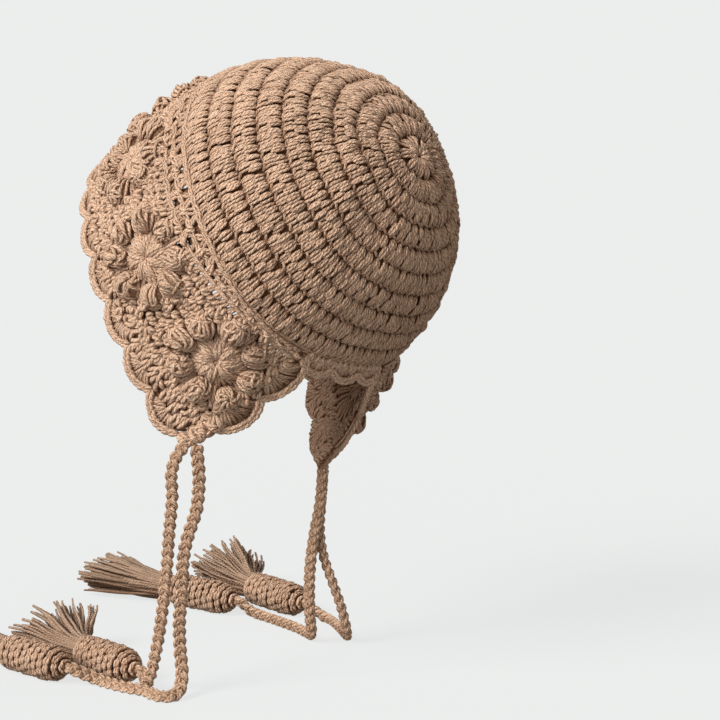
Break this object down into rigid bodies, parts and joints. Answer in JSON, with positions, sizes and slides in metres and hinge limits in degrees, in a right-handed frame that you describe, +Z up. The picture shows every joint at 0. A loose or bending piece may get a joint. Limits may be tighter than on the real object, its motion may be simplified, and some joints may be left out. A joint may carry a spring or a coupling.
{
  "type": "crocheted bonnet with ear corners and tasselled ties",
  "caption": "Hand-crocheted tan bonnet: round crown, open lace band, popcorn-flower squares, shell edging and braided ties with tassels.",
  "frame": {"origin": "centre of the round crown, where the middle of the head sits", "axes": "+Z up as worn, +Y to the back of the head, +X to the wearer's left"},
  "size_m": [0.2263, 0.2579, 0.3072],
  "materials": {
    "hat_yarn": "fuzzy plied yarn, matt",
    "tie_yarn": "the same yarn, braided tightly",
    "fringe_yarn": "the same yarn, cut and untwisted at its ends"
  },
  "bodies": {
    "root": {"crown": "hat_yarn", "lace_band": "hat_yarn", "flower_left_1": "hat_yarn", "flower_left_2": "hat_yarn", "flower_left_3": "hat_yarn", "flower_left_4": "hat_yarn", "flower_right_1": "hat_yarn", "flower_right_2": "hat_yarn", "flower_right_3": "hat_yarn", "flower_right_4": "hat_yarn", "flap_edging_left": "hat_yarn", "flap_edging_right": "hat_yarn", "tie_corner_left": "hat_yarn", "tie_corner_right": "hat_yarn", "front_edging": "hat_yarn", "nape_edging": "hat_yarn", "cord_left_front": "tie_yarn", "cord_left_back": "tie_yarn", "cord_right_front": "tie_yarn", "cord_right_back": "tie_yarn", "tassel_cap_left_front": "hat_yarn", "tassel_cap_left_back": "hat_yarn", "tassel_cap_right_front": "hat_yarn", "tassel_cap_right_back": "hat_yarn", "tassel_skirt_left_front": "fringe_yarn", "tassel_skirt_left_back": "fringe_yarn", "tassel_skirt_right_front": "fringe_yarn", "tassel_skirt_right_back": "fringe_yarn"}
  },
  "joints": []
}
